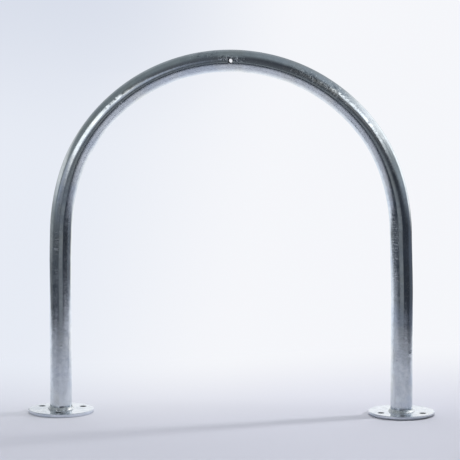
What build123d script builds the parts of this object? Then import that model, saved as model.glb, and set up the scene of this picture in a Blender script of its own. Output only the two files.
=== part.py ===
from build123d import *
import os

# Bolt-down bicycle parking hoop: one bent steel tube on two round base flanges, fillet welded at the feet.
# Millimetres. +Z is up, +X runs from the left leg to the right leg, and -Y is the front.
# The origin is on the ground, midway between the legs.

# Hoop layout
leg_spacing = 750.0  # centre to centre of the two legs
straight_leg_height = 400.0  # ground to the start of the bend

# Tube, a standard steel pipe size
tube_diameter = 48.3
tube_wall = 3.2

# Vent drilled level through both walls at the crown, which lets air out of the tube in the zinc bath
vent_diameter = 10.0

# Round base flanges
flange_diameter = 145.0
flange_thickness = 8.0
flange_edge_chamfer = 0.8
drain_ledge = 7.0  # how far each flange reaches in under the bore, round the hole that drains the zinc

# Anchor holes, for M12 bolts
anchor_hole_diameter = 13.5
anchor_hole_count = 3
anchor_edge_distance = 20.0  # hole centre to flange rim
anchor_hole_chamfer = 0.5
left_first_hole_angle = 270.0  # one hole points to the front on the left flange
right_first_hole_angle = 90.0  # one hole points to the back on the right flange

# Fillet welds round the feet of the legs
weld_leg = 6.0
weld_bulge = 0.5  # how far the bead swells out of the straight line between its two toes

# Sizes that follow from those above
tube_radius = tube_diameter / 2
bore_radius = tube_radius - tube_wall
bend_radius = leg_spacing / 2
crown_axis_height = straight_leg_height + bend_radius
left_leg_x = -leg_spacing / 2
right_leg_x = leg_spacing / 2
flange_radius = flange_diameter / 2
drain_radius = bore_radius - drain_ledge
anchor_hole_radius = anchor_hole_diameter / 2
anchor_circle_radius = flange_radius - anchor_edge_distance

os.makedirs("parts", exist_ok=True)

# Hoop tube: both legs and the half-circle bend in one length, which stands on the flanges
with BuildPart() as hoop_tube:
    with BuildLine():
        left_leg = Line((left_leg_x, 0, flange_thickness), (left_leg_x, 0, straight_leg_height))
        bend = ThreePointArc(
            left_leg @ 1,
            (0, 0, crown_axis_height),
            (right_leg_x, 0, straight_leg_height),
        )
        Line(bend @ 1, (right_leg_x, 0, flange_thickness))
    with BuildSketch(Plane(left_leg @ 0)):
        Circle(tube_radius)
        Circle(bore_radius, mode=Mode.SUBTRACT)
    sweep()
    with BuildSketch(Plane((0, 0, crown_axis_height), x_dir=(1, 0, 0), z_dir=(0, -1, 0))):
        Circle(vent_diameter / 2)
    extrude(amount=tube_diameter, both=True, mode=Mode.SUBTRACT)
hoop_tube.part.label = "hoop_tube"
export_step(hoop_tube.part, "parts/hoop_tube.step")

for side, leg_x, first_hole_angle in (
    ("left", left_leg_x, left_first_hole_angle),
    ("right", right_leg_x, right_first_hole_angle),
):
    # Base flange: a round plate with its ring of anchor holes and a drain under the tube
    with BuildPart() as base_flange:
        with BuildSketch(Plane((leg_x, 0, 0))):
            Circle(flange_radius)
        extrude(amount=flange_thickness)
        chamfer(base_flange.edges().filter_by(GeomType.CIRCLE), flange_edge_chamfer)
        with BuildSketch(Plane((leg_x, 0, 0))):
            Circle(drain_radius)
        extrude(amount=flange_thickness, mode=Mode.SUBTRACT)
        with BuildSketch(Plane((leg_x, 0, 0))):
            with PolarLocations(anchor_circle_radius, anchor_hole_count, first_hole_angle):
                Circle(anchor_hole_radius)
        extrude(amount=flange_thickness, mode=Mode.SUBTRACT)
        anchor_hole_walls = base_flange.faces(Select.LAST).filter_by(GeomType.CYLINDER)
        chamfer(anchor_hole_walls.edges().filter_by(GeomType.CIRCLE), anchor_hole_chamfer)
    base_flange.part.label = f"{side}_base_flange"
    export_step(base_flange.part, f"parts/{side}_base_flange.step")

    # Weld bead: a slightly swollen fillet weld that runs all round the foot of the leg
    with BuildPart() as weld_bead:
        with BuildSketch(Plane((leg_x, 0, flange_thickness), x_dir=(1, 0, 0), z_dir=(0, -1, 0))):
            with BuildLine():
                seat = Line((tube_radius, 0), (tube_radius + weld_leg, 0))
                cap = SagittaArc(seat @ 1, (tube_radius, weld_leg), -weld_bulge)
                Line(cap @ 1, seat @ 0)
            make_face()
        revolve(axis=Axis((leg_x, 0, 0), (0, 0, 1)))
    weld_bead.part.label = f"{side}_weld_bead"
    export_step(weld_bead.part, f"parts/{side}_weld_bead.step")
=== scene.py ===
"""Looks of the bolt-down bicycle hoop: zinc-coated tube, flanges and welds in a pale studio.

Metres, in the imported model's frame. +Z is up, +X is the viewer's right, -Y is towards the viewer.
"""

import math

import bpy
from mathutils import Matrix, Vector, noise


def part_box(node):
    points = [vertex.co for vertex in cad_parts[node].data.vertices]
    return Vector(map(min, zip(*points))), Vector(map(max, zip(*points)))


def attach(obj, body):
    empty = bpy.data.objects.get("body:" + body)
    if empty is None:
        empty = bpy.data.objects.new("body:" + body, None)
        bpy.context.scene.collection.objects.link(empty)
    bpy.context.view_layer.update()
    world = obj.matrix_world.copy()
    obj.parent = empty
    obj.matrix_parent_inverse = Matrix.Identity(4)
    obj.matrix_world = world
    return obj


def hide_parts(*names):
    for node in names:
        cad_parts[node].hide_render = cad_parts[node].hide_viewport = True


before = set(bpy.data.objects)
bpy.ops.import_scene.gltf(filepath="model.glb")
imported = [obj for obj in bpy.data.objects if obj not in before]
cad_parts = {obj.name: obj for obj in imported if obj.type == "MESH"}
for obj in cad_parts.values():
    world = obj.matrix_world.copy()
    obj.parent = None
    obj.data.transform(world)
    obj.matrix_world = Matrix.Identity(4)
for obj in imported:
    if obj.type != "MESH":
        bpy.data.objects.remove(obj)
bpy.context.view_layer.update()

MM = 0.001

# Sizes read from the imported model
tube_low, tube_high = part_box("hoop_tube")
flange_low, flange_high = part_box("left_base_flange")
_, bead_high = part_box("left_weld_bead")
tube_radius = (tube_high.y - tube_low.y) / 2
bend_radius = tube_high.x - tube_radius
bend_start = tube_high.z - tube_radius - bend_radius
crown_height = bend_start + bend_radius
flange_top = flange_high.z
flange_radius = (flange_high.y - flange_low.y) / 2
weld_leg = bead_high.z - flange_top
leg_centres = {"left": -bend_radius, "right": bend_radius}

# Sizes that the boxes don't tell
tube_wall = 3.2 * MM
bore_radius = tube_radius - tube_wall
vent_radius = 4.6 * MM  # drilled at 5 mm and narrowed by the zinc
drain_ledge = 7.0 * MM  # how far each flange reaches in under the bore
drain_radius = bore_radius - drain_ledge
anchor_radius = 6.75 * MM
anchor_edge_distance = 20.0 * MM  # hole centre to flange rim
anchor_circle = flange_radius - anchor_edge_distance
anchor_count = 3
first_anchor_angle = {"left": math.radians(270), "right": math.radians(90)}

# Lengths along the tube's axis, counted from the crown
quarter_length = bend_radius * math.pi / 2
half_length = quarter_length + bend_start - flange_top
FRONT = Vector((0, -1, 0))


def hump(distance, width):
    """A rounded hump, 1 at its middle and 0 from its width on."""
    share = min(1.0, abs(distance) / width)
    return (1 - share * share) ** 2


# Meshes made of two wrapped sheets with round holes through both


def circle_points(centre, radius, angles):
    return [centre + radius * Vector((math.cos(a), math.sin(a))) for a in angles]


class ShellMesh:
    """Collects the points and faces of a closed shell.

    Each point also has its place on the unbent piece, its share of painted shade, which darkens holes,
    seams and the flanges' under edges, and its share of crumpled zinc.
    """

    def __init__(self):
        self.points = []
        self.unbent = []
        self.painted_shade = []
        self.crumple = []
        self.faces = []

    def add(self, point, unbent, painted_shade=0.0, crumple=0.0):
        self.points.append(point)
        self.unbent.append(unbent)
        self.painted_shade.append(painted_shade)
        self.crumple.append(crumple)
        return len(self.points) - 1

    def bridge(self, ring, next_ring, flip=False):
        """Quads between two closed rings of equal length."""
        for k in range(len(ring)):
            after = (k + 1) % len(ring)
            quad = (ring[k], ring[after], next_ring[after], next_ring[k])
            self.faces.append(quad[::-1] if flip else quad)

    def sheet(self, rows, columns, place, skipped, flip=False):
        """A grid of rows, closed round its columns. Returns each row's point numbers."""
        grid = [[self.add(*place(row, column)) for column in range(columns)] for row in rows]
        for i in range(len(rows) - 1):
            for j in range(columns):
                if (i, j) in skipped:
                    continue
                after = (j + 1) % columns
                quad = (grid[i][j], grid[i][after], grid[i + 1][after], grid[i + 1][j])
                self.faces.append(quad[::-1] if flip else quad)
        return grid

    def to_object(self, name, material):
        mesh = bpy.data.meshes.new(name)
        mesh.from_pydata(self.points, [], self.faces)
        mesh.validate()
        unbent = mesh.attributes.new("unbent", "FLOAT_VECTOR", "POINT")
        for slot, place in zip(unbent.data, self.unbent):
            slot.vector = place
        for trait, shares in (("painted_shade", self.painted_shade), ("crumple", self.crumple)):
            mesh.attributes.new(trait, "FLOAT", "POINT").data.foreach_set("value", shares)
        mesh.polygons.foreach_set("use_smooth", [True] * len(mesh.polygons))
        mesh.materials.append(material)
        made = bpy.data.objects.new(name, mesh)
        bpy.context.scene.collection.objects.link(made)
        return made


def patch_cells(row, column, half_rows, half_columns, columns):
    """The grid cells inside a rectangular patch."""
    return {
        (i, j % columns)
        for i in range(row - half_rows, row + half_rows)
        for j in range(column - half_columns, column + half_columns)
    }


def patch_rim(grid, row, column, half_rows, half_columns):
    """The point numbers round that patch, in order."""
    columns = len(grid[0])
    low_row, high_row = row - half_rows, row + half_rows
    low_column, high_column = column - half_columns, column + half_columns
    rim = [(i, low_column) for i in range(low_row, high_row)]
    rim += [(high_row, j) for j in range(low_column, high_column)]
    rim += [(i, high_column) for i in range(high_row, low_row, -1)]
    rim += [(low_row, j) for j in range(high_column, low_column, -1)]
    return [grid[i][j % columns] for i, j in rim]


def sleeve(shell, outer_rim, inner_rim, flat, outer_at, inner_at, centre, radius, rounding, flip):
    """Joins a patch in the outer sheet to the one in the inner sheet through a round hole with soft edges.

    flat gives a point's place in the hole's plane, and outer_at and inner_at lift a place in that plane
    onto each sheet. rounding is the soft edge's radius.
    """
    patch_rings = 6
    edge_rings = 4
    crowding = 1.5  # above 1, so that rings lie closer together near the hole
    # Painted shade on the ring where the soft edge begins
    painted_shade_at_edge = 0.6
    angles = []
    for number in outer_rim:
        away = flat(shell.points[number]) - centre
        angles.append(math.atan2(away.y, away.x))

    def rings_of(rim, lift):
        """Rings from the patch's rim to the soft edge's start, without the rim itself."""
        starts = [flat(shell.points[number]) for number in rim]
        ends = circle_points(centre, radius + rounding, angles)
        rings = []
        for k in range(1, patch_rings + 1):
            share = 1 - (1 - k / patch_rings) ** crowding
            ring = [shell.add(*lift(a.lerp(b, share))) for a, b in zip(starts, ends)]
            rings.append(ring)
        for number in rings[-1]:
            shell.painted_shade[number] = painted_shade_at_edge
        return rings

    def edge_of(lift, other):
        """The rounded edge: rings that turn from the sheet into the hole's wall."""
        rings = []
        for k in range(1, edge_rings + 1):
            turn = k / edge_rings * math.pi / 2
            places = circle_points(centre, radius + rounding * (1 - math.sin(turn)), angles)
            ring = []
            for place in places:
                point, unbent = lift(place)[:2]
                opposite = other(place)[0]
                inward = (opposite - point).normalized() * rounding * (1 - math.cos(turn))
                # The soft edge and the hole's wall take full painted shade
                ring.append(shell.add(point + inward, unbent, 1.0))
            rings.append(ring)
        return rings

    rings = [outer_rim] + rings_of(outer_rim, outer_at) + edge_of(outer_at, inner_at)
    back = [inner_rim] + rings_of(inner_rim, inner_at) + edge_of(inner_at, outer_at)
    rings += back[::-1]
    for ring, next_ring in zip(rings, rings[1:]):
        shell.bridge(ring, next_ring, flip)


# Zinc materials


def new_material(name):
    material = bpy.data.materials.new(name)
    material.use_nodes = True
    material.node_tree.nodes.clear()
    return material


class Nodes:
    """Short calls for building the nodes of a material or of the world."""

    def __init__(self, owner):
        self.tree = owner.node_tree

    def node(self, kind, **settings):
        made = self.tree.nodes.new("ShaderNode" + kind)
        for key, value in settings.items():
            setattr(made, key, value)
        return made

    def link(self, source, target):
        self.tree.links.new(source, target)

    def stretched(self, coordinates, scale):
        mapping = self.node("Mapping")
        mapping.inputs["Scale"].default_value = scale
        self.link(coordinates, mapping.inputs["Vector"])
        return mapping.outputs["Vector"]

    def noise(self, coordinates, scale, detail=3.0, roughness=0.5, distortion=0.0):
        made = self.node("TexNoise")
        made.inputs["Scale"].default_value = scale
        made.inputs["Detail"].default_value = detail
        made.inputs["Roughness"].default_value = roughness
        made.inputs["Distortion"].default_value = distortion
        self.link(coordinates, made.inputs["Vector"])
        return made.outputs["Fac"]

    def ranged(self, value, low, high, to_low=0.0, to_high=1.0):
        """Eases from to_low, where the value is low, to to_high, where it is high."""
        made = self.node("MapRange", interpolation_type="SMOOTHSTEP")
        made.inputs["From Min"].default_value = low
        made.inputs["From Max"].default_value = high
        made.inputs["To Min"].default_value = to_low
        made.inputs["To Max"].default_value = to_high
        self.link(value, made.inputs["Value"])
        return made.outputs["Result"]

    def math(self, operation, first, second=0.0):
        made = self.node("Math", operation=operation)
        for socket, value in zip(made.inputs, (first, second)):
            if isinstance(value, (int, float)):
                socket.default_value = value
            else:
                self.link(value, socket)
        return made.outputs["Value"]

    def weighted(self, *terms):
        """The sum of its terms, each given as a value and its share."""
        products = [self.math("MULTIPLY", value, share) for value, share in terms]
        total = products[0]
        for product in products[1:]:
            total = self.math("ADD", total, product)
        return total

    def mixed(self, share, first, second):
        """The first colour where the share is 0 and the second where it is 1."""
        made = self.node("Mix", data_type="RGBA")
        self.link(share, made.inputs["Factor"])
        colour_inputs = made.inputs[6:8]  # the sockets before these are for numbers and vectors
        for socket, colour in zip(colour_inputs, (first, second)):
            if isinstance(colour, tuple):
                socket.default_value = (*colour, 1)
            else:
                self.link(colour, socket)
        return made.outputs[2]

    def bumped(self, height, distance, below=None):
        made = self.node("Bump")
        made.inputs["Strength"].default_value = 1.0
        made.inputs["Distance"].default_value = distance
        self.link(height, made.inputs["Height"])
        if below is not None:
            self.link(below, made.inputs["Normal"])
        return made.outputs["Normal"]


# Painted shade for holes, seams and the flanges' under edges
painted_shade_grey = (0.06, 0.07, 0.08)
scuff_grey = (0.80, 0.84, 0.88)
# Painted shade in the low parts of the folds of crumpled zinc
fold_shade_grey = (0.16, 0.18, 0.22)
crumple_height = 1.2 * MM

crystals_to_the_metre = 115
ring_stretch = (1, 1, 6)  # squeezed along the piece's axis, so that the marks run round it
fold_stretch = (1, 1, 0.5)  # drawn out along the axis

# Heights of the finer relief, as shares of the dapples' height
streak_relief = 0.5
grain_relief = 0.08

# The noise values at which each effect sets in and is full
dulling = (0.38, 0.62)
roughening = (0.38, 0.64)
blue_patches = (0.52, 0.66)
brown_patches = (0.48, 0.36)
ring_marks = (0.54, 0.64)
# Painted shade in the folds, where the fold noise is low
fold_shadows = (0.50, 0.38)

# The shares of crumpling over which two of the effects grow
crumple_rubbing = (0.0, 0.3)
crumple_fold_shading = (0.1, 0.8)

# How strong each effect is where it is full
blue_strength = 0.45
brown_strength = 0.35
fold_shade_strength = 0.60
rubbing_on_smooth = 0.03
rubbing_on_crumpled = 0.60
painted_shade_roughness = 0.4
rubbed_roughness = 0.60


def zinc_material(name, bright, dull, blue, brown, metallic, smoothest, roughest, flow, dapple_height):
    """Hot-dip zinc: cloudy and tinted patches, crystal spangle, streaks along the flow, rubbed rings, and
    painted shade in holes, seams and the folds of crumpled zinc.

    The noises lie on the unbent piece, with scales in waves to the metre.
    """
    material = new_material(name)
    nodes = Nodes(material)
    place = nodes.node("Attribute", attribute_name="unbent").outputs["Vector"]
    painted_shade = nodes.node("Attribute", attribute_name="painted_shade").outputs["Fac"]
    crumple = nodes.node("Attribute", attribute_name="crumple").outputs["Fac"]

    clouds = nodes.noise(place, scale=22, detail=5.0, roughness=0.6, distortion=0.4)
    patches = nodes.noise(place, scale=11, detail=4.0, roughness=0.6)
    dapple = nodes.noise(place, scale=120, detail=3.0, roughness=0.55, distortion=0.3)
    streaks = nodes.noise(nodes.stretched(place, flow), scale=90, detail=4.0, roughness=0.55)
    grain = nodes.noise(place, scale=420, detail=4.0, roughness=0.6)
    rings = nodes.noise(nodes.stretched(place, ring_stretch), scale=55, detail=3.0, roughness=0.65)
    folds = nodes.noise(nodes.stretched(place, fold_stretch), scale=170, detail=4.0, roughness=0.5)

    spangle = nodes.node("TexVoronoi", feature="F1")
    spangle.inputs["Scale"].default_value = crystals_to_the_metre
    nodes.link(place, spangle.inputs["Vector"])
    crystals = nodes.node("SeparateColor")
    nodes.link(spangle.outputs["Color"], crystals.inputs["Color"])
    crystal_tone = crystals.outputs["Red"]

    tone = nodes.weighted(
        (clouds, 0.42),
        (streaks, 0.25),
        (dapple, 0.17),
        (crystal_tone, 0.08),
        (grain, 0.08),
    )
    rubbing = nodes.ranged(crumple, *crumple_rubbing, rubbing_on_smooth, rubbing_on_crumpled)
    rubbed = nodes.math("MULTIPLY", nodes.ranged(rings, *ring_marks), rubbing)
    # Painted shade in the low parts of the folds, where the zinc is crumpled
    in_folds = nodes.ranged(folds, *fold_shadows, 0.0, fold_shade_strength)
    fold_shaded = nodes.math("MULTIPLY", in_folds, nodes.ranged(crumple, *crumple_fold_shading))

    shader = nodes.node("BsdfPrincipled")
    shader.inputs["Metallic"].default_value = metallic
    zinc = nodes.mixed(nodes.ranged(tone, *dulling), bright, dull)
    zinc = nodes.mixed(nodes.ranged(patches, *blue_patches, 0.0, blue_strength), zinc, blue)
    zinc = nodes.mixed(nodes.ranged(patches, *brown_patches, 0.0, brown_strength), zinc, brown)
    zinc = nodes.mixed(rubbed, zinc, scuff_grey)
    zinc = nodes.mixed(fold_shaded, zinc, fold_shade_grey)
    # Painted shade darkens the holes, the seams and the flanges' under edges
    nodes.link(nodes.mixed(painted_shade, zinc, painted_shade_grey), shader.inputs["Base Color"])
    clean_roughness = nodes.ranged(tone, *roughening, smoothest, roughest)
    added_roughness = nodes.weighted((painted_shade, painted_shade_roughness), (rubbed, rubbed_roughness))
    nodes.link(nodes.math("ADD", clean_roughness, added_roughness), shader.inputs["Roughness"])

    crumpled = nodes.math("MULTIPLY", folds, crumple)
    normal = nodes.bumped(dapple, dapple_height)
    normal = nodes.bumped(streaks, dapple_height * streak_relief, normal)
    normal = nodes.bumped(grain, dapple_height * grain_relief, normal)
    normal = nodes.bumped(crumpled, crumple_height, normal)
    nodes.link(normal, shader.inputs["Normal"])

    output = nodes.node("OutputMaterial")
    nodes.link(shader.outputs["BSDF"], output.inputs["Surface"])
    return material


tube_zinc = zinc_material(
    "tube_zinc",
    bright=(0.68, 0.72, 0.75),
    dull=(0.54, 0.58, 0.61),
    blue=(0.50, 0.57, 0.68),
    brown=(0.60, 0.60, 0.55),
    metallic=1.0,
    smoothest=0.10,
    roughest=0.22,
    flow=(1, 1, 0.08),
    dapple_height=0.10 * MM,
)
flange_zinc = zinc_material(
    "flange_zinc",
    bright=(0.74, 0.77, 0.83),
    dull=(0.62, 0.66, 0.72),
    blue=(0.60, 0.66, 0.76),
    brown=(0.64, 0.66, 0.66),
    metallic=0.90,
    smoothest=0.10,
    roughest=0.24,
    flow=(1, 1, 0.05),
    dapple_height=0.07 * MM,
)
weld_zinc = zinc_material(
    "weld_zinc",
    bright=(0.92, 0.94, 0.96),
    dull=(0.58, 0.61, 0.63),
    blue=(0.60, 0.65, 0.72),
    brown=(0.50, 0.45, 0.39),
    metallic=0.8,
    smoothest=0.10,
    roughest=0.40,
    flow=(1, 1, 1),
    dapple_height=0.12 * MM,
)


# Hoop tube

tube_columns = 96
front_column = tube_columns // 4
back_column = front_column * 3
finest_row = 1.0 * MM
widest_row = 3.2 * MM
row_growth = 0.04  # how much wider a row gets with its distance from fine detail
bore_row_step = 8  # away from the vent, the bore has one row for this many on the outside

# The patch that is cut out round each end of the vent, counted from its middle, and the vent's edge
vent_patch_rows = 8
vent_patch_columns = 6
vent_fine_reach = 24 * MM  # how far along the tube the rows stay at their finest
vent_rounding = 0.6 * MM
vent_lip_height = 0.12 * MM
vent_lip_distance = 1.2 * MM  # from the vent's edge to the top of the lip
vent_lip_width = 2.0 * MM

# The zinc's relief on the tube: waves to the metre across and along it, and height in millimetres
slow_relief = (28, 9, 0.10)
quick_relief = (90, 34, 0.025)
quick_shift = 5  # keeps the quick relief from repeating the slow one

# Where the bend drifts off a true arc: station, reach each way and distance outwards, in millimetres
bend_drifts = [
    (548, 190, -3.8),
    (-535, 130, -2.4),
    (-180, 300, 1.0),
]

# Zinc that set as lumps, or as dips where the height is below 0: station, angle, half length, half width
# and height. They are in millimetres, but the angle round the tube is in degrees.
zinc_lumps = [
    (13.5, 84, 4.0, 2.4, 0.80),
    (-3.5, 70, 4.5, 2.4, 0.50),
    (-9.5, 74, 3.0, 2.2, 0.36),
    (-250, 67, 8.0, 5.5, 0.18),
    (-264, 66, 5.0, 4.0, -0.18),
    (-290, 69, 6.0, 4.0, -0.20),
    (-840, 98, 3.4, 2.6, 0.18),
    (905, 62, 3.2, 2.6, 0.16),
    (868, 120, 3.6, 2.8, 0.16),
    (610, 105, 4.4, 3.0, 0.16),
]

# Crumpled zinc: station, angle, half length, half width and strength, measured as above
crumpled_spots = [
    (14, 78, 22, 8, 1.5),
    (-12, 72, 18, 8, 1.4),
    (-56, 38, 44, 15, 1.0),
    (-252, 67, 14, 7, 0.2),
    (-287, 70, 24, 8, 0.25),
    (-262, 108, 14, 8, 0.4),
    (165, 66, 76, 16, 0.8),
    (240, 58, 70, 19, 0.75),
    (330, 46, 110, 14, 0.5),
    (630, 128, 190, 18, 0.15),
    (852, 34, 9, 14, 0.35),
    (-625, 70, 100, 22, 0.12),
]


def row_width(station):
    """Rows lie closer together at the vent, at lumps of zinc and at the feet."""
    from_vent = max(0.0, abs(station) - vent_fine_reach)
    from_foot = half_length - abs(station)
    from_lump = min(abs(station - middle * MM) for middle, *_ in zinc_lumps)
    return min(widest_row, finest_row + row_growth * min(from_vent, from_foot, from_lump))


def tube_stations():
    """Distances along the axis, from the left foot past the crown to the right foot."""
    sides = []
    for sign in (-1, 1):
        stations = [0.0]
        while stations[-1] < half_length:
            stations.append(stations[-1] + row_width(sign * stations[-1]))
        stretch = half_length / stations[-1]
        sides.append([sign * station * stretch for station in stations])
    left, right = sides
    return left[:0:-1] + right


def on_tube(station, angle, radius):
    """A point of the hoop, with angle measured round the tube from its outer side through the front."""
    bend_angle = max(-quarter_length, min(quarter_length, station)) / bend_radius
    outward = Vector((math.sin(bend_angle), 0, math.cos(bend_angle)))
    drift = sum(drift * hump(station / MM - middle, reach) for middle, reach, drift in bend_drifts) * MM
    centre = Vector((0, 0, bend_start)) + outward * (bend_radius + drift)
    centre.z -= max(0.0, abs(station) - quarter_length)
    return centre + radius * (outward * math.cos(angle) + FRONT * math.sin(angle))


def unbent_place(station, angle, radius):
    """Where that point would lie if the tube were straight along Z."""
    return Vector((radius * math.cos(angle), radius * math.sin(angle), station))


def spot_effect(station, angle, spot):
    """What a lump or a crumpled spot does here: its full height or strength at its middle, 0 outside it."""
    middle, middle_angle, half_size, half_width, effect = spot
    away = (station - middle * MM) / (half_size * MM)
    if abs(away) >= 1:
        return 0.0
    aside = (angle - math.radians(middle_angle)) * tube_radius / (half_width * MM)
    return effect * hump(math.hypot(away, aside), 1.0)


def tube_relief(station, angle):
    """How far the zinc stands out from the steel."""
    place = unbent_place(station, angle, tube_radius)
    across, along, slow_height = slow_relief
    slow = noise.noise(Vector((place.x * across, place.y * across, place.z * along)))
    across, along, quick_height = quick_relief
    quick = noise.noise(Vector((place.x * across, place.y * across, place.z * along + quick_shift)))
    height = slow_height * slow + quick_height * quick
    for lump in zinc_lumps:
        height += spot_effect(station, angle, lump)
    return height * MM


def tube_crumple(station, angle):
    return max(spot_effect(station, angle, spot) for spot in crumpled_spots)


def outer_point(station, angle, lip=0.0):
    """A point of the zinc's surface, its place on the unbent tube, no painted shade and its share of
    crumpling.
    """
    point = on_tube(station, angle, tube_radius + tube_relief(station, angle) + lip)
    return point, unbent_place(station, angle, tube_radius), 0.0, tube_crumple(station, angle)


def bore_point(station, angle, lip=0.0):
    """The same for the bore, which is smooth: it has no lip, no painted shade and no crumpling."""
    return on_tube(station, angle, bore_radius), unbent_place(station, angle, bore_radius)


def vent_lip(distance):
    """The rim of zinc that stands up round the vent, by distance from the vent's axis."""
    return vent_lip_height * hump(distance - vent_radius - vent_lip_distance, vent_lip_width)


def crown_wall(side, radius, wall_point):
    """Lifts a place in the vent's plane, given as x and height, onto the tube's wall at the crown."""

    def lift(place):
        across = Vector((place.x, place.y - bend_start))
        station = bend_radius * math.atan2(across.x, across.y)
        angle = math.acos((across.length - bend_radius) / radius)
        if side == "back":
            angle = 2 * math.pi - angle
        from_axis = (place - Vector((0, crown_height))).length
        return wall_point(station, angle, vent_lip(from_axis))

    return lift


def make_hoop_tube():
    """One length of tube, bored through, with the vent in the crown."""
    shell = ShellMesh()
    outer_rows = tube_stations()
    crown_row = outer_rows.index(0.0)
    near_vent = vent_patch_rows + 2
    last_row = len(outer_rows) - 1
    inner_rows = [
        station
        for i, station in enumerate(outer_rows)
        if abs(i - crown_row) <= near_vent or i % bore_row_step == 0 or i == last_row
    ]
    inner_crown_row = inner_rows.index(outer_rows[crown_row])

    def outer_place(station, column):
        return outer_point(station, column * 2 * math.pi / tube_columns)

    def inner_place(station, column):
        return bore_point(station, column * 2 * math.pi / tube_columns)

    def skipped(row):
        cells = set()
        for column in (front_column, back_column):
            cells |= patch_cells(row, column, vent_patch_rows, vent_patch_columns, tube_columns)
        return cells

    outer = shell.sheet(outer_rows, tube_columns, outer_place, skipped(crown_row))
    inner = shell.sheet(inner_rows, tube_columns, inner_place, skipped(inner_crown_row), flip=True)
    shell.bridge(outer[0], inner[0], flip=True)
    shell.bridge(outer[-1], inner[-1])
    for side, column in (("front", front_column), ("back", back_column)):
        sleeve(
            shell,
            patch_rim(outer, crown_row, column, vent_patch_rows, vent_patch_columns),
            patch_rim(inner, inner_crown_row, column, vent_patch_rows, vent_patch_columns),
            flat=lambda point: Vector((point.x, point.z)),
            outer_at=crown_wall(side, tube_radius, outer_point),
            inner_at=crown_wall(side, bore_radius, bore_point),
            centre=Vector((0, crown_height)),
            radius=vent_radius,
            rounding=vent_rounding,
            flip=True,
        )
    return shell.to_object("zinc_tube", tube_zinc)


# Base flanges

flange_columns = 180
rows_to_anchors = 22  # from the drain to the middle of the anchor holes
rows_to_rounding = 12  # from there to where the edge begins to round off
rounding_rows = 6
anchor_patch_rows = 6
anchor_patch_columns = 8
top_rounding = 1.2 * MM
under_rounding = 2.6 * MM
anchor_rounding = 0.7 * MM

# The zinc's relief on a flange: waves to the metre, height, and the noise's level that it is read at
flange_slow_relief = (45, 0.06 * MM, 1.5)
flange_quick_relief = (150, 0.015 * MM, 4.5)
rim_roll_height = 0.10 * MM
rim_roll_width = 3 * MM  # to each side of its top, which lies as far in from the rim

# Painted shade under the rim, for the dark line where the flange meets the floor: the angle where it is
# darkest, its least share and how much is added there
under_edge_painted_shade = {"left": (182, 0.08, 0.50), "right": (320, 0.35, 0.45)}


def flange_relief(x, y):
    """How far the zinc stands up from the plate, thicker towards the rim where it ran off."""
    height = 0.0
    for scale, relief, level in (flange_slow_relief, flange_quick_relief):
        height += relief * noise.noise(Vector((x * scale, y * scale, level)))
    from_axis = math.hypot(x, y)
    return height + rim_roll_height * hump(from_axis - (flange_radius - rim_roll_width), rim_roll_width)


def make_flange(side):
    """A round plate with soft edges, three anchor holes and the drain."""
    shell = ShellMesh()
    centre = Vector((leg_centres[side], 0))
    turn = first_anchor_angle[side]
    shadiest, least_painted_shade, extra_painted_shade = under_edge_painted_shade[side]

    def evenly(start, end, count):
        """Places in even steps after the start, up to the end itself."""
        return [start + k * (end - start) / count for k in range(1, count + 1)]

    inner_rows = [drain_radius] + evenly(drain_radius, anchor_circle, rows_to_anchors)
    anchor_row = len(inner_rows) - 1

    def face_rows(rounding):
        """Rows outward over the face and round its edge, as distances from the axis and depths."""
        flat_end = flange_radius - rounding
        flat_radii = inner_rows + evenly(anchor_circle, flat_end, rows_to_rounding)
        bends = evenly(0.0, math.pi / 2, rounding_rows)
        edge = [(flat_end + rounding * math.sin(a), rounding * (1 - math.cos(a))) for a in bends]
        return [(radius, 0.0) for radius in flat_radii] + edge

    def lift_face(x, y, depth, top):
        """A point of the top or the under side, from its place on the flange."""
        if not top:
            height = depth
        elif depth == 0:
            height = flange_top + flange_relief(x, y)
        else:
            height = flange_top - depth
        point = Vector((centre.x + x, centre.y + y, height))
        if top or depth == 0:
            return point, point.copy()
        # The under side takes painted shade, darkest at one angle round the rim
        off_shadiest = math.atan2(y, x) - math.radians(shadiest)
        return point, point.copy(), least_painted_shade + extra_painted_shade * max(0.0, math.cos(off_shadiest)) ** 4

    def place_on(top):
        def place(row, column):
            radius, depth = row
            angle = turn + column * 2 * math.pi / flange_columns
            x, y = radius * math.cos(angle), radius * math.sin(angle)
            return lift_face(x, y, depth, top)

        return place

    def lift_on(top):
        return lambda flat_place: lift_face(flat_place.x - centre.x, flat_place.y - centre.y, 0.0, top)

    anchor_columns = [k * flange_columns // anchor_count for k in range(anchor_count)]
    skipped = set()
    for column in anchor_columns:
        skipped |= patch_cells(anchor_row, column, anchor_patch_rows, anchor_patch_columns, flange_columns)
    top = shell.sheet(face_rows(top_rounding), flange_columns, place_on(True), skipped, flip=True)
    under = shell.sheet(face_rows(under_rounding), flange_columns, place_on(False), skipped)
    shell.bridge(top[-1], under[-1], flip=True)
    shell.bridge(top[0], under[0])
    for column in anchor_columns:
        angle = turn + column * 2 * math.pi / flange_columns
        hole = centre + anchor_circle * Vector((math.cos(angle), math.sin(angle)))
        sleeve(
            shell,
            patch_rim(top, anchor_row, column, anchor_patch_rows, anchor_patch_columns),
            patch_rim(under, anchor_row, column, anchor_patch_rows, anchor_patch_columns),
            flat=lambda point: Vector((point.x, point.y)),
            outer_at=lift_on(True),
            inner_at=lift_on(False),
            centre=hole,
            radius=anchor_radius,
            rounding=anchor_rounding,
            flip=False,
        )
    return shell.to_object(f"{side}_zinc_flange", flange_zinc)


# Weld beads

bead_columns = 300
bead_rows = 16
bead_seeds = {"left": 3.0, "right": 17.0}
bead_overlap = 0.2 * MM  # how far the hidden side of the bead reaches into the tube's wall

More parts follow.
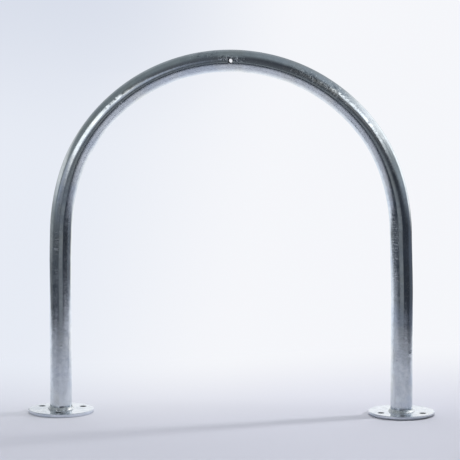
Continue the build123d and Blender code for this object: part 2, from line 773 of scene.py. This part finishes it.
# The bead's height and reach, as shares of the weld's leg: the plain size, its unevenness, a lump's growth
bead_size = (0.84, 0.20, 0.14)

# How far its middle swells: the plain size, its unevenness and what a lump adds
bead_swell = (0.3 * MM, 0.4 * MM, 0.8 * MM)

# Noise is read round a circle of this radius, times one of the scales below it
noise_circle = 1.7
size_noise = 1.6
swell_noise = 2.4
ripple_noise = 5
reach_shift = Vector((9, 0, 0))  # the shifts keep the noises from repeating each other
swell_shift = Vector((0, 5, 0))

ripple_width = 2.3 * MM
ripple_height = 0.24 * MM
ripple_bow = 1.6 * MM  # how far a ripple's middle lies off its ends, which makes it a crescent
ripple_wobble = 0.8
ripple_mean = 0.6  # taken off the ripples, so that they don't thicken the bead

# Painted shade in the bead's two seams, with the tube and with the flange: widths as shares of the bead's
# width, and strengths
leg_seam_width = 0.12
flange_seam_width = 0.10
flange_seam_strength = 0.6
seam_painted_shade = 0.7
lump_cover = 0.7  # how much of that painted shade a lump hides

# Where the arc stopped and left a lump: angle and half width in degrees, and size from 0 to 1
weld_lumps = {
    "left": [(258, 9, 0.9), (308, 14, 1.0), (214, 22, 0.6), (30, 12, 0.7), (118, 16, 0.8)],
    "right": [(300, 20, 1.0), (338, 8, 0.8), (232, 16, 0.5), (75, 14, 0.8), (160, 12, 0.7)],
}


def make_weld_bead(side):
    """A fillet of overlapping ripples round the foot of the leg, with lumps where the arc stopped."""
    shell = ShellMesh()
    centre = Vector((leg_centres[side], 0, flange_top))
    plain_size, uneven_size, lump_size = bead_size
    plain_swell, uneven_swell, lump_swell = bead_swell

    def place(row, column):
        share = row / (bead_rows - 1)
        angle = column * 2 * math.pi / bead_columns
        around = Vector((math.cos(angle), math.sin(angle), 0))
        spot = around * noise_circle + Vector((0, 0, bead_seeds[side]))
        lump = 0.0
        for lump_angle, half_width, size in weld_lumps[side]:
            away = (math.degrees(angle) - lump_angle + 180) % 360 - 180
            lump += size * hump(away, half_width)
        uneven_climb = noise.noise(spot * size_noise)
        uneven_reach = noise.noise(spot * size_noise + reach_shift)
        uneven_middle = noise.noise(spot * swell_noise + swell_shift)
        climb = weld_leg * (plain_size + uneven_size * uneven_climb + lump_size * lump)
        reach = weld_leg * (plain_size + uneven_size * uneven_reach + lump_size * lump)
        swell = plain_swell + uneven_swell * uneven_middle + lump_swell * lump
        curve = 4 * share * (1 - share)  # 1 in the bead's middle and 0 at its seams
        ripple_phase = (angle * tube_radius + ripple_bow * curve) / ripple_width
        ripple = abs(math.sin(math.pi * ripple_phase + ripple_wobble * noise.noise(spot * ripple_noise)))
        proud = (swell + ripple_height * (ripple - ripple_mean)) * curve
        slanted = proud * math.sqrt(0.5)  # its part outwards and its part upwards
        out = tube_radius + reach * share + slanted
        up = climb * (1 - share) + slanted
        point = centre + around * out + Vector((0, 0, up))
        seam = hump(share, leg_seam_width) + flange_seam_strength * hump(1 - share, flange_seam_width)
        # The third value is the painted shade in the seams
        return point, point.copy(), seam_painted_shade * seam * (1 - lump_cover * lump)

    rows = shell.sheet(range(bead_rows), bead_columns, place, set(), flip=True)
    root = []
    for column in range(bead_columns):
        angle = column * 2 * math.pi / bead_columns
        around = Vector((math.cos(angle), math.sin(angle), 0))
        point = centre + around * (tube_radius - bead_overlap)
        root.append(shell.add(point, point.copy()))
    shell.bridge(rows[-1], root, flip=True)
    shell.bridge(root, rows[0], flip=True)
    return shell.to_object(f"{side}_zinc_weld", weld_zinc)


hoop_tube = make_hoop_tube()
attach(hoop_tube, "root")
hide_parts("hoop_tube")
for side in leg_centres:
    flange = make_flange(side)
    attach(flange, "root")
    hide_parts(f"{side}_base_flange")
    bead = make_weld_bead(side)
    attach(bead, "root")
    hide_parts(f"{side}_weld_bead")


# Studio

# Colours of the floor, which is painted darker towards the right as painted shade, and of the glowing
# backdrop that it fades into, with painted light and shade: brighter to the right, dimmer in its far left
# corner
floor_grey = (0.55, 0.55, 0.61)
floor_shade_right = (0.45, 0.45, 0.495)
backdrop_shaded_corner = (0.69, 0.73, 0.825)
backdrop_left = (0.80, 0.835, 0.91)
backdrop_right = (0.915, 0.925, 0.96)

# Sizes and places of the floor and the backdrop
floor_half_width = 30.0
floor_shade_span = (0.15, 1.0)  # from the plain floor grey to the painted shade on its right, along X
backdrop_start = -0.35  # where the floor begins to lighten into the backdrop, along Y
backdrop_end = 0.70
backdrop_slant = (-0.35, 0.55)  # between these places along X, start and end move back by backdrop_shift
backdrop_shift = 0.30
backdrop_fan = 4.5  # how far in front of the hoop the backdrop's left-to-right shading fans out from
backdrop_sides = (-0.12, 0.0)  # the fan's slopes between which the backdrop brightens
backdrop_far = (-0.03, 0.08)  # from dimmest to undimmed, by nearness, which is 1 over the distance
backdrop_glare = 1.25  # how much brighter reflections see the backdrop
floor_reach = (1.5, 3.2)  # how far from the hoop the floor fades out on the other sides
paper_left = (-1.95, -1.4)  # the paper's left edge, from faded out to whole, along X
paper_slant = 0.22  # how fast that edge runs to the left towards the back
paper_right = (0.85, 1.7)  # its right edge, from whole to faded out
paper_front = (-1.65, -0.5)  # its front edge, along Y

# Colours of the room that lies beyond the paper
ceiling_left = (0.22, 0.25, 0.265)
ceiling_right = (0.40, 0.455, 0.52)
ceiling_behind = (0.38, 0.41, 0.44)
room_ahead_left = (0.135, 0.15, 0.165)
room_ahead_right = (0.032, 0.038, 0.051)
room_ahead_high_left = (0.100, 0.108, 0.122)
room_ahead_low_left = (0.033, 0.041, 0.056)
room_left = (0.35, 0.37, 0.38)
room_low_left = (0.10, 0.11, 0.12)
room_right = (0.10, 0.115, 0.15)

# Where one colour of the room runs into the next, by the X, Y or Z of the direction it is seen in
room_middle = (-0.15, 0.25)  # X, from the left half to the right
ceiling_span = (-0.2, 0.9)  # X, from ceiling_left to ceiling_right
ceiling_depth = (0.1, 0.8)  # Y, from overhead to behind the hoop
ahead_high = (-0.30, -0.90)  # Y, from the ceiling to the wall in front of the hoop
ahead_low = (-0.30, 0.20)  # Y, from the foot of that wall to the foot of the side walls
skirting = (-0.085, -0.120)  # Z, where the lowest part of the walls darkens
left_wall_top = (-0.06, 0.04)  # Z, from the walls to what is above them
right_wall_top = (-0.06, 0.25)
horizon_nearness = -1.16  # turns Z into 1 over the distance at which the camera would see the floor there

# Colours of the cards
white = (0.97, 0.99, 1.0)
pale_blue = (0.86, 0.95, 1.0)
lavender = (0.80, 0.86, 1.0)
door_grey = (0.76, 0.83, 0.90)


def flat_sheet(name, half_width, half_height, material):
    """A flat rectangle that faces up, with its middle at the origin."""
    x, y = half_width, half_height
    mesh = bpy.data.meshes.new(name)
    mesh.from_pydata([(-x, -y, 0), (x, -y, 0), (x, y, 0), (-x, y, 0)], [], [(0, 1, 2, 3)])
    mesh.materials.append(material)
    sheet = bpy.data.objects.new(name, mesh)
    bpy.context.scene.collection.objects.link(sheet)
    return sheet


def backdrop_light_and_shade(nodes, sideways, nearness):
    """The backdrop's glow, with painted light and shade: brighter towards the right and dimmer in its far
    left corner.
    """
    rightness = nodes.ranged(sideways, *backdrop_sides)
    farness = nodes.ranged(nearness, *backdrop_far, 1.0, 0.0)
    corner = nodes.math("MULTIPLY", farness, nodes.math("SUBTRACT", 1.0, rightness))
    return nodes.mixed(corner, nodes.mixed(rightness, backdrop_left, backdrop_right), backdrop_shaded_corner)


def make_floor():
    """A pale floor, painted darker towards the right as painted shade, that fades into a glowing backdrop
    with painted light and shade.

    Reflections see it end like a roll of studio paper.
    """
    material = new_material("studio_floor")
    nodes = Nodes(material)
    place = nodes.node("TexCoord").outputs["Object"]
    parts = nodes.node("SeparateXYZ")
    nodes.link(place, parts.inputs["Vector"])
    across, depth = parts.outputs["X"], parts.outputs["Y"]

    ground = nodes.node("BsdfDiffuse")
    # Painted shade: the floor darkens towards the right
    grey = nodes.mixed(nodes.ranged(across, *floor_shade_span), floor_grey, floor_shade_right)
    nodes.link(grey, ground.inputs["Color"])
    reflected = nodes.node("LightPath").outputs["Is Glossy Ray"]
    # The backdrop glows with painted light and shade, and brighter still in reflections
    backdrop = nodes.node("Emission")
    length = nodes.node("VectorMath", operation="LENGTH")
    nodes.link(place, length.inputs[0])
    radius = length.outputs["Value"]
    nearness = nodes.math("DIVIDE", 1.0, nodes.math("ADD", radius, backdrop_fan))
    fan = nodes.math("ADD", nodes.math("ABSOLUTE", depth), backdrop_fan)
    sideways = nodes.math("DIVIDE", across, fan)
    nodes.link(backdrop_light_and_shade(nodes, sideways, nearness), backdrop.inputs["Color"])
    nodes.link(nodes.ranged(reflected, 0.0, 1.0, 1.0, backdrop_glare), backdrop.inputs["Strength"])
    lit = nodes.node("MixShader")
    sweep = nodes.math("SUBTRACT", depth, nodes.ranged(across, *backdrop_slant, 0.0, backdrop_shift))
    behind = nodes.ranged(sweep, backdrop_start, backdrop_end)
    far_off = nodes.ranged(radius, *floor_reach)
    around = nodes.math("MULTIPLY", far_off, nodes.math("SUBTRACT", 1.0, reflected))
    nodes.link(nodes.math("MAXIMUM", behind, around), lit.inputs["Fac"])
    nodes.link(ground.outputs["BSDF"], lit.inputs[1])
    nodes.link(backdrop.outputs["Emission"], lit.inputs[2])

    from_left = nodes.math("ADD", across, nodes.math("MULTIPLY", depth, paper_slant))
    within_left = nodes.ranged(from_left, *paper_left)
    within_right = nodes.ranged(across, *paper_right, 1.0, 0.0)
    within_front = nodes.ranged(depth, *paper_front)
    within_sides = nodes.math("MULTIPLY", within_left, within_right)
    beyond = nodes.math("SUBTRACT", 1.0, nodes.math("MULTIPLY", within_sides, within_front))
    gone = nodes.math("MULTIPLY", beyond, reflected)
    nothing = nodes.node("BsdfTransparent")
    shown = nodes.node("MixShader")
    nodes.link(gone, shown.inputs["Fac"])
    nodes.link(lit.outputs["Shader"], shown.inputs[1])
    nodes.link(nothing.outputs["BSDF"], shown.inputs[2])
    output = nodes.node("OutputMaterial")
    nodes.link(shown.outputs["Shader"], output.inputs["Surface"])

    floor = flat_sheet("studio_floor", floor_half_width, floor_half_width, material)


def towards(azimuth, elevation):
    """A direction from the hoop, azimuth 0 to the viewer and rising to the right."""
    azimuth, elevation = math.radians(azimuth), math.radians(elevation)
    level = math.cos(elevation)
    return Vector((math.sin(azimuth) * level, -math.cos(azimuth) * level, math.sin(elevation)))


hoop_shoulders = Vector((0, 0, 0.7))


def face_hoop(thing, azimuth, elevation, distance, roll=0.0):
    """Places a card or a lamp so that it faces the hoop's shoulders."""
    outward = towards(azimuth, elevation)
    thing.location = hoop_shoulders + outward * distance
    turn = outward.to_track_quat("Z", "Y").to_matrix() @ Matrix.Rotation(math.radians(roll), 3, "Z")
    thing.rotation_euler = turn.to_euler()


def make_card(name, azimuth, elevation, distance, width, height, strength, edge, colour=white, roll=0.0):
    """A card with a soft edge that only reflections see: a softbox when bright, a flag when dark."""
    material = new_material(name)
    nodes = Nodes(material)
    parts = nodes.node("SeparateXYZ")
    nodes.link(nodes.node("TexCoord").outputs["Object"], parts.inputs["Vector"])
    from_side = nodes.math("SUBTRACT", width / 2, nodes.math("ABSOLUTE", parts.outputs["X"]))
    from_end = nodes.math("SUBTRACT", height / 2, nodes.math("ABSOLUTE", parts.outputs["Y"]))
    solid = nodes.math("MULTIPLY", nodes.ranged(from_side, 0.0, edge), nodes.ranged(from_end, 0.0, edge))
    glow = nodes.node("Emission")
    glow.inputs["Color"].default_value = (*colour, 1)
    glow.inputs["Strength"].default_value = strength
    nothing = nodes.node("BsdfTransparent")
    shown = nodes.node("MixShader")
    nodes.link(solid, shown.inputs["Fac"])
    nodes.link(nothing.outputs["BSDF"], shown.inputs[1])
    nodes.link(glow.outputs["Emission"], shown.inputs[2])
    output = nodes.node("OutputMaterial")
    nodes.link(shown.outputs["Shader"], output.inputs["Surface"])
    card = flat_sheet(name, width / 2, height / 2, material)
    face_hoop(card, azimuth, elevation, distance, roll)
    card.visible_camera = False
    card.visible_diffuse = False
    card.visible_shadow = False


def make_area_light(name, azimuth, elevation, distance, size, power):
    light = bpy.data.lights.new(name, "AREA")
    light.shape = "SQUARE"
    light.size = size
    light.energy = power
    lamp = bpy.data.objects.new(name, light)
    bpy.context.scene.collection.objects.link(lamp)
    face_hoop(lamp, azimuth, elevation, distance)
    lamp.visible_camera = False
    lamp.visible_glossy = False


def make_world():
    """The room beyond the paper, which shines on and mirrors in the zinc.

    The camera sees the bright backdrop in its place.
    """
    world = bpy.data.worlds.new("studio_air")
    bpy.context.scene.world = world
    world.use_nodes = True
    world.node_tree.nodes.clear()
    nodes = Nodes(world)
    parts = nodes.node("SeparateXYZ")
    nodes.link(nodes.node("TexCoord").outputs["Generated"], parts.inputs["Vector"])
    across, depth, height = parts.outputs["X"], parts.outputs["Y"], parts.outputs["Z"]

    rightward = nodes.ranged(across, *room_middle)
    ceiling = nodes.mixed(nodes.ranged(across, *ceiling_span), ceiling_left, ceiling_right)
    ceiling = nodes.mixed(nodes.ranged(depth, *ceiling_depth), ceiling, ceiling_behind)
    high_ahead = nodes.mixed(rightward, room_ahead_high_left, room_ahead_right)
    upper = nodes.mixed(nodes.ranged(depth, *ahead_high), ceiling, high_ahead)
    sunk = nodes.ranged(height, *skirting)
    low_ahead = nodes.mixed(sunk, room_ahead_left, room_ahead_low_left)
    low_ahead = nodes.mixed(rightward, low_ahead, room_ahead_right)
    low_side = nodes.mixed(sunk, room_left, room_low_left)
    low_side = nodes.mixed(rightward, low_side, room_right)
    low_wall = nodes.mixed(nodes.ranged(depth, *ahead_low), low_ahead, low_side)
    left_room = nodes.mixed(nodes.ranged(height, *left_wall_top), low_wall, upper)
    right_room = nodes.mixed(nodes.ranged(height, *right_wall_top), low_wall, upper)
    room = nodes.mixed(rightward, left_room, right_room)

    nearness = nodes.math("MULTIPLY", height, horizon_nearness)
    sideways = nodes.math("DIVIDE", across, nodes.math("ABSOLUTE", depth))
    backdrop = backdrop_light_and_shade(nodes, sideways, nearness)
    seen = nodes.node("LightPath").outputs["Is Camera Ray"]
    background = nodes.node("Background")
    nodes.link(nodes.mixed(seen, room, backdrop), background.inputs["Color"])
    output = nodes.node("OutputWorld")
    nodes.link(background.outputs["Background"], output.inputs["Surface"])


make_floor()
make_world()

# Lights that shine: azimuth and elevation in degrees, distance and size in metres, power in watts
make_area_light("key_light", 109, 12, 3.0, 0.34, 60)
make_area_light("overhead_light", 180, 75, 2.6, 2.4, 92)

# Cards that only mirror in the zinc: azimuth, elevation, distance, width, height, strength and soft edge
make_card("paper_backdrop", 174, -5, 2.2, 3.0, 2.3, 1.05, 0.75)
make_card("doorway", 3.8, -14.1, 2.79, 2.22, 0.80, 0.29, 0.30, colour=door_grey)
make_card("left_softbox", -38, 14, 2.9, 2.5, 1.55, 1.7, 0.60, roll=-26)
make_card("left_glow", -42, 6, 3.2, 4.0, 1.5, 0.50, 0.60, colour=lavender)
make_card("left_wash", -17, 7, 3.0, 1.5, 1.5, 0.70, 0.65, colour=lavender)
make_card("right_wash", 18, 12, 3.0, 1.3, 1.5, 0.28, 0.60)
make_card("left_strip", -114, 7, 3.0, 4.2, 1.4, 0.80, 0.60)
make_card("right_window", 92, 31, 3.7, 12.0, 2.4, 1.25, 1.05)
make_card("right_softbox", 45, 24, 2.9, 1.9, 1.6, 1.9, 0.60, roll=20)
make_card("window_glow", 80, 17, 3.9, 6.0, 1.6, 0.34, 0.60, colour=pale_blue)
make_card("right_reflector", 130, 9, 3.0, 2.4, 2.1, 1.5, 0.55)


# Camera

camera_distance = 4.5
camera_height = 0.8615
camera_azimuth = math.radians(2.25)
camera_aim = Vector((-0.0016, 0, 0.5075))

camera_data = bpy.data.cameras.new("camera")
camera_data.lens = 161.7
camera_data.sensor_width = 36.0
camera_data.shift_y = -0.101
camera = bpy.data.objects.new("camera", camera_data)
bpy.context.scene.collection.objects.link(camera)
camera.location = (
    camera_distance * math.sin(camera_azimuth),
    -camera_distance * math.cos(camera_azimuth),
    camera_height,
)
camera.rotation_euler = (camera_aim - camera.location).to_track_quat("-Z", "Y").to_euler()
bpy.context.scene.camera = camera
bpy.context.scene.view_settings.view_transform = "Standard"
